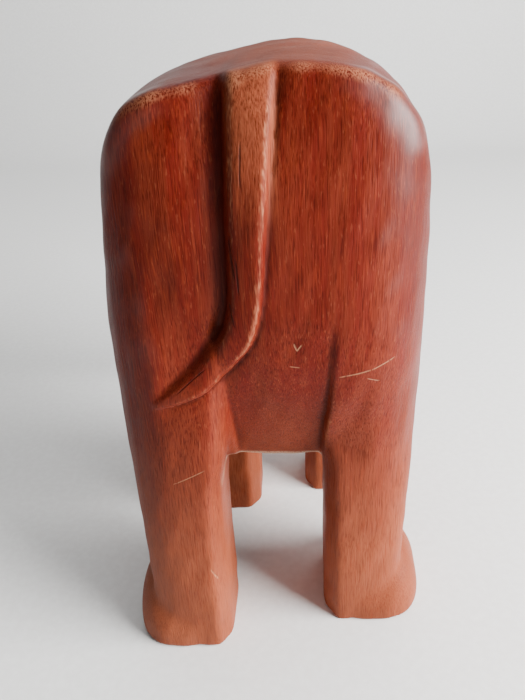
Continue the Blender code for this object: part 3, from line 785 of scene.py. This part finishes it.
deep, base, orange = (0.040, 0.0018, 0.0006), (0.100, 0.0075, 0.0036), (0.195, 0.0262, 0.0082)
brown, rubbed_and_sheen, bare = (0.120, 0.0160, 0.0066), (0.270, 0.0720, 0.0310), (0.440, 0.1750, 0.0900)
lines = stain.noise(stain.place((430, 430, 11), (8.1, 6.2, 0.7), warp=sway), 2.0, 0.6)
colour = stain.mix((bands * 0.6 + lines * 0.4).within(0.40, 0.60), base, brown)
colour = stain.mix(cloud.within(0.62, 0.30) * 0.50, colour, deep)
low_wear = (1 - height.within(0.010, 0.150)) * 0.78
# Painted reflection: the top of the back is painted paler for the sky it reflects, and made rougher.
top_sheen = height.within(0.2440, 0.2500) * 0.40
# The lower legs are worn paler; on the top of the back the same pale colour is a painted reflection.
colour = stain.mix(((low_wear + top_sheen) * (0.50 + cloud)).clear(), colour, rubbed_and_sheen)
colour = stain.mix(fleck.within(0.52, 0.70) * 0.42, colour, orange)
colour = stain.mix(tick.within(0.62, 0.74) * 0.22, colour, rubbed_and_sheen)
colour = stain.mix(fine.within(0.53, 0.32) * (0.68 - low_wear * 0.44), colour, deep)
# Painted shade: the hollows are darkened nearly to black, standing in for the shade that falls in them.
hollow_shade = (edges * -1.0).within(0.06, 0.36)
colour = stain.mix(hollow_shade * 0.62, colour, (0.018, 0.0012, 0.0005))
# The top of the tail is rubbed paler than the rump beside it.
tail_top = rear_face * height.within(0.190, 0.238)
tail_top = tail_top * side_on.within(-0.008, -0.005) * (1 - side_on.within(0.006, 0.010))
colour = stain.mix(tail_top * (0.42 + (fine - 0.5) * 1.3).clear(), colour, (0.300, 0.0820, 0.0360))
# Edges and the ridge of the rump are worn through to bare wood, in a broken line.
rough_edge = edges + (tick - 0.5) * 0.50 + (cloud - 0.5) * 0.16
worn = rough_edge.within(0.22, 0.52)
colour = stain.mix(worn * (0.32 + height.within(0.190, 0.240) * behind * 0.62), colour, bare)
crest = form.within(0.165, 0.25) * height.within(0.218, 0.228) * behind * fine.within(0.36, 0.60)
colour = stain.mix(crest * 0.55, colour, bare)


def marks(strokes):
    """Where thin straight marks on the rear run: from and to, sideways and up, and their width."""
    made = 0.0
    for (a_side, a_up), (b_side, b_up), width in strokes:
        run_side, run_up = b_side - a_side, b_up - a_up
        off_side, off_up = side_on - a_side, height - a_up
        share = ((off_side * run_side + off_up * run_up) / (run_side**2 + run_up**2)).clear()
        miss_side, miss_up = off_side - share * run_side, off_up - share * run_up
        miss = miss_side.math("SQRT", miss_side * miss_side + miss_up * miss_up)
        strength = ((1 - share) * share * 6.0 + 0.25).clear()
        made = (1 - miss.within(0.3 * width, width * 1.6)) * strength + made
    return made.clear() * behind


# Where the varnish was scratched, and where the knife left a slit along the tail, its shade painted dark.
scratch = tick.within(0.30, 0.46) * marks(
    [
        ((-0.0262, 0.1440), (-0.0380, 0.1466), 0.00030),
        ((-0.0380, 0.1466), (-0.0460, 0.1500), 0.00026),
        ((-0.0365, 0.1425), (-0.0410, 0.1405), 0.00022),
        ((-0.0100, 0.1590), (-0.0112, 0.1560), 0.00030),
        ((-0.0128, 0.1585), (-0.0112, 0.1560), 0.00026),
        ((-0.0085, 0.1490), (-0.0120, 0.1484), 0.00022),
        ((0.0388, 0.0978), (0.0259, 0.1049), 0.00022),
        ((0.0277, 0.0507), (0.0255, 0.0432), 0.00028),
    ]
)
slit_shade = marks(
    [
        ((0.0098, 0.1990), (0.0086, 0.1850), 0.00034),
        ((0.0078, 0.1920), (0.0075, 0.1800), 0.00030),
        ((0.0112, 0.1760), (0.0098, 0.1680), 0.00028),
        ((0.0042, 0.2280), (0.0050, 0.2150), 0.00020),
        ((0.0220, 0.1500), (0.0330, 0.1400), 0.00022),
    ]
)
colour = stain.mix(scratch * 0.50, colour, (0.420, 0.2000, 0.1050))
# Painted shade: the slits are painted nearly black for the shade inside them.
colour = stain.mix(slit_shade * 0.75, colour, (0.020, 0.0015, 0.0006))
# The lower edge of the panel is bare wood.
raw_rim = height.within(0.0885, 0.0905) * (1 - height.within(0.0935, 0.0955)) * behind
raw_rim = raw_rim * (1 - (side_on * side_on).within(0.0190**2, 0.0215**2)) * tick.within(0.25, 0.50)
colour = stain.mix(raw_rim * 0.75, colour, (0.400, 0.2600, 0.1700))

relief_map = fine * 0.35 + fleck * 0.25 + tick * 0.15
bump = stain.node("ShaderNodeBump", Strength=0.55, Distance=0.00050, Height=relief_map + lines * 0.3)
swell = stain.noise(stain.place((120, 120, 45), (2.0, 6.0, 1.0)), 2.0)
bump = stain.node("ShaderNodeBump", Strength=0.45, Distance=0.0010, Height=swell, Normal=bump)
bump = stain.node(
    "ShaderNodeBump", {"invert": True}, Strength=0.7, Distance=0.0004, Height=scratch + slit_shade, Normal=bump
)
# The rounded corners of the back are polished by hands.
polished = form.within(0.040, 0.110) * (1 - form.within(0.150, 0.240)) * height.within(0.120, 0.215)
polished = polished * (side_on * side_on).within(0.020**2, 0.036**2)
roughness = 0.40 + top_sheen * 0.45 + (fine - 0.5) * 0.25 + worn * 0.25
roughness = roughness + low_wear * 0.10 + hollow_shade * 0.15 + scratch * 0.2
carving.data.materials.clear()
carving.data.materials.append(
    stain.finish(
        Base_Color=colour,
        Roughness=roughness.clear(),
        Coat_Weight=(polished * 0.75 + 0.02 - worn * 0.2 - top_sheen * 0.9).clear(),
        Coat_Roughness=0.48,
        IOR=1.15,
        Normal=bump,
    )
)
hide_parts("carved_body")
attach(carving, "root")

# The tusks.
# Two horns of pale wood, turned up, with a round peg glued into the cheek. A line that bends at a
# steady rate carries the round section, which thins to a blunt point.
TUSK_LENGTH, PEG_LENGTH, TUSK_BEND = 0.044, 0.012, math.radians(62)


class Pipes:
    """A tree of geometry nodes with named inputs, for one thing that follows a line."""

    def __init__(self, name, inputs):
        self.tree = bpy.data.node_groups.new(name, "GeometryNodeTree")
        self.tree.interface.new_socket("Geometry", in_out="OUTPUT", socket_type="NodeSocketGeometry")
        self.keys = {}
        for label, (kind, value) in inputs.items():
            item = self.tree.interface.new_socket(label, in_out="INPUT", socket_type=f"NodeSocket{kind}")
            item.default_value = value
            self.keys[label] = item.identifier
        self.start = self.tree.nodes.new("NodeGroupInput")
        self.end = self.tree.nodes.new("NodeGroupOutput")

    def given(self, label):
        return Signal(self.tree, self.start.outputs[label])

    node = Finish.node
    put = Finish.put


def horn(name, start, out, rise):
    pipes = Pipes(
        name + "_rule",
        {
            "Radius": ("Float", TUSK_RADIUS),
            "Length": ("Float", TUSK_LENGTH),
            "Peg": ("Float", PEG_LENGTH),
            "Bend": ("Float", TUSK_BEND),
            "Start": ("Vector", start),
            "Out": ("Vector", out),
            "Rise": ("Vector", rise),
        },
    )
    length, peg, bend = (pipes.given(label) for label in ("Length", "Peg", "Bend"))
    line = pipes.node("GeometryNodeCurvePrimitiveLine")
    line = pipes.node("GeometryNodeResampleCurve", Curve=line, Count=72)
    along = pipes.node("GeometryNodeSplineParameter")
    run = along * (length + peg) - peg
    free = run.math("MAXIMUM", run, 0.0)
    inner = run - free
    bow = length / bend
    turn = free / bow
    on = bow * turn.math("SINE", turn) + inner
    lift = bow * (1 - turn.math("COSINE", turn))
    where = pipes.node(
        "ShaderNodeVectorMath", {"operation": "MULTIPLY_ADD"}, in0=pipes.given("Out"),
        in1=pipes.node("ShaderNodeCombineXYZ", X=on, Y=on, Z=on), in2=pipes.given("Start"),
    )
    where = pipes.node(
        "ShaderNodeVectorMath", {"operation": "MULTIPLY_ADD"}, in0=pipes.given("Rise"),
        in1=pipes.node("ShaderNodeCombineXYZ", X=lift, Y=lift, Z=lift), in2=where,
    )
    line = pipes.node("GeometryNodeSetPosition", Geometry=line, Position=where)
    share = free / length
    left = 1.0001 - share.math("POWER", share, 26.0)
    size = pipes.given("Radius") * (1 - share.math("POWER", share, 1.7) * 0.80) * left.math("SQRT", left)
    ring = pipes.node("GeometryNodeCurvePrimitiveCircle", Resolution=36, Radius=1.0)
    made = pipes.node("GeometryNodeCurveToMesh", Curve=line, Profile_Curve=ring, Scale=size, Fill_Caps=True)
    made = pipes.node("GeometryNodeSetShadeSmooth", Geometry=made)
    made = pipes.node("GeometryNodeRealizeInstances", Geometry=made)
    made = pipes.node("GeometryNodeSetMaterial", Geometry=made, Material=ivory.material)
    pipes.tree.links.new(made.socket, pipes.end.inputs[0])
    thing = bpy.data.objects.new(name, bpy.data.meshes.new(name))
    bpy.context.scene.collection.objects.link(thing)
    rule = thing.modifiers.new("rule", "NODES")
    rule.node_group = pipes.tree
    rule[pipes.keys["Length"]] = TUSK_LENGTH
    settled(thing)
    return thing


ivory = Finish("pale_wood")
grain = ivory.noise(ivory.place((900, 160, 900)), 3.0, 0.6)
rings_noise = ivory.noise(ivory.place((90, 320, 260), (1, 2, 3)), 2.0)
patches = ivory.noise(ivory.place((110, 110, 110), (4, 1, 2)), 2.0)
cream = ivory.mix(rings_noise.within(0.40, 0.62), (0.66, 0.52, 0.33), (0.78, 0.68, 0.48))
cream = ivory.mix(grain.within(0.52, 0.70) * 0.45, cream, (0.46, 0.31, 0.16))
cream = ivory.mix(patches.within(0.58, 0.74) * 0.35, cream, (0.50, 0.30, 0.14))
pores = grain * 0.6 + rings_noise * 0.4
ivory_bump = ivory.node("ShaderNodeBump", Strength=0.30, Distance=0.0003, Height=pores)
ivory.finish(
    Base_Color=cream,
    Roughness=(0.34 + (grain - 0.5) * 0.3 + patches * 0.08).clear(),
    Coat_Weight=0.25,
    Coat_Roughness=0.22,
    Normal=ivory_bump,
)
for name, hand in (("tusk_left", 1), ("tusk_right", -1)):
    out = Vector((TUSK_OUT[0] * hand, -TUSK_OUT[1], TUSK_OUT[2]))
    level = out.cross(Vector((0, 0, 1))).normalized()
    start = Vector((MOUTH_SIDE * hand, RUMP - MOUTH_FORWARD, MOUTH_UP))
    tusk = horn(name + "_horn", start, out, level.cross(out))
    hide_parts(name)
    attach(tusk, "root")

# The eyes.
# Black-brown beads with a domed, polished face, pressed on a short peg into their seats.
bead = Finish("dark_bead")
mottle = bead.noise(bead.place((700, 700, 700)), 2.0)
bead.finish(
    Base_Color=bead.mix(mottle.within(0.45, 0.75), (0.008, 0.006, 0.005), (0.035, 0.018, 0.010)),
    Roughness=(0.10 + mottle * 0.08).clear(),
    Coat_Weight=0.6,
    Coat_Roughness=0.05,
)
BEAD_SIDES = 40
# Distance from the bead's axis, distance out of the seat.
BEAD_PROFILE = [
    (0.0, -0.0045),
    (0.0026, -0.0045),
    (0.0031, -0.0040),
    (0.0031, -0.0002),
    (0.0030, 0.0004),
    (0.0027, 0.0010),
    (0.0021, 0.0016),
    (0.0012, 0.0020),
    (0.0, 0.0021),
]
for name, hand in (("eye_left", 1), ("eye_right", -1)):
    out = Vector((EYE_OUT[0] * hand, -EYE_OUT[1], EYE_OUT[2]))
    seat = Vector((EYE[0] * hand, RUMP - EYE[1], EYE[2]))
    level = out.cross(Vector((0, 0, 1))).normalized()
    upright = level.cross(out)
    shell = bmesh.new()
    hoops = []
    for radius, lift in BEAD_PROFILE:
        centre = seat + out * lift
        if radius == 0:
            hoops.append([shell.verts.new(centre)] * BEAD_SIDES)
            continue
        hoops.append(
            [
                shell.verts.new(centre + level * radius * math.cos(a) + upright * radius * math.sin(a))
                for a in (2 * math.pi * n / BEAD_SIDES for n in range(BEAD_SIDES))
            ]
        )
    for low_hoop, high_hoop in zip(hoops, hoops[1:]):
        for n in range(BEAD_SIDES):
            m = (n + 1) % BEAD_SIDES
            corners = [low_hoop[n], low_hoop[m], high_hoop[m], high_hoop[n]]
            shell.faces.new(list(dict.fromkeys(corners)))
    bmesh.ops.recalc_face_normals(shell, faces=shell.faces)
    mesh = bpy.data.meshes.new(name + "_bead")
    shell.to_mesh(mesh)
    shell.free()
    mesh.shade_smooth()
    mesh.materials.append(bead.material)
    eye = bpy.data.objects.new(name + "_bead", mesh)
    bpy.context.scene.collection.objects.link(eye)
    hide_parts(name)
    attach(eye, "root")

# The floor, the light and the camera.
# A pale matt table, a large soft window high on the right, and a camera that looks down from behind.
floor_finish = Finish("pale_table")
weave = floor_finish.noise(floor_finish.place((260, 260, 260)), 3.0)
floor_finish.finish(
    Base_Color=floor_finish.mix(weave.within(0.35, 0.70), (0.80, 0.80, 0.795), (0.84, 0.845, 0.84)),
    Roughness=0.55,
    Specular_IOR_Level=0.3,
    Normal=floor_finish.node("ShaderNodeBump", Strength=0.1, Distance=0.0004, Height=weave),
)
# The sheet lies flat and sweeps up into a backdrop far ahead.
SWEEP_START, SWEEP_RADIUS, BACKDROP_HEIGHT = -0.90, 0.3, 2.6
sheet_line = [(4.0, 0.0), (0.4, 0.0), (SWEEP_START, 0.0)]
sheet_line += [
    (SWEEP_START - SWEEP_RADIUS * math.sin(a), SWEEP_RADIUS - SWEEP_RADIUS * math.cos(a))
    for a in (math.pi / 32 * n for n in range(1, 17))
]
sheet_line += [(SWEEP_START - SWEEP_RADIUS, BACKDROP_HEIGHT)]
corners = [(x, y, z) for y, z in sheet_line for x in (3.2, -3.2)]
strips = [(2 * n, 2 * n + 1, 2 * n + 3, 2 * n + 2) for n in range(len(sheet_line) - 1)]
floor_mesh = bpy.data.meshes.new("table")
floor_mesh.from_pydata(corners, [], strips)
floor_mesh.shade_smooth()
floor_mesh.materials.append(floor_finish.material)
table = bpy.data.objects.new("table", floor_mesh)
bpy.context.scene.collection.objects.link(table)


def window(name, place, aim, size, power, colour):
    lamp = bpy.data.lights.new(name, "AREA")
    lamp.shape = "RECTANGLE"
    lamp.size, lamp.size_y = size
    lamp.energy = power
    lamp.color = colour
    holder = bpy.data.objects.new(name, lamp)
    holder.location = place
    holder.rotation_euler = (Vector(aim) - Vector(place)).to_track_quat("-Z", "Y").to_euler()
    bpy.context.scene.collection.objects.link(holder)


window("window_right", (-0.93, 0.38, 0.44), (0, 0.05, 0.10), (0.70, 1.00), 66, (1.0, 0.985, 0.965))
window("ceiling", (-0.30, -0.40, 1.60), (0, -0.2, 0.1), (1.4, 1.4), 17, (1.0, 0.99, 0.98))

room = bpy.data.worlds.new("room")
room.use_nodes = True
room.node_tree.nodes["Background"].inputs["Color"].default_value = (0.93, 0.97, 1.0, 1)
room.node_tree.nodes["Background"].inputs["Strength"].default_value = 0.19
bpy.context.scene.world = room

# The camera's turn, tip and tilt in radians, its place in metres and its lens in millimetres.
YAW, PITCH, ROLL = -0.0763, 0.5093, -0.0520
CAMERA_PLACE, FOCAL_LENGTH = (-0.0135, 0.3126, 0.2628), 31.885714
ahead = Vector((-math.sin(YAW) * math.cos(PITCH), -math.cos(YAW) * math.cos(PITCH), -math.sin(PITCH)))
level = ahead.cross(Vector((0, 0, 1))).normalized()
upright = level.cross(ahead)
right = level * math.cos(ROLL) + upright * math.sin(ROLL)
above = upright * math.cos(ROLL) - level * math.sin(ROLL)
lens = bpy.data.cameras.new("camera")
lens.sensor_width = 36
lens.lens = FOCAL_LENGTH
lens.clip_start = 0.01
camera = bpy.data.objects.new("camera", lens)
axes = Matrix((right, above, -ahead)).transposed()
camera.matrix_world = Matrix.Translation(CAMERA_PLACE) @ axes.to_4x4()
bpy.context.scene.collection.objects.link(camera)
bpy.context.scene.camera = camera
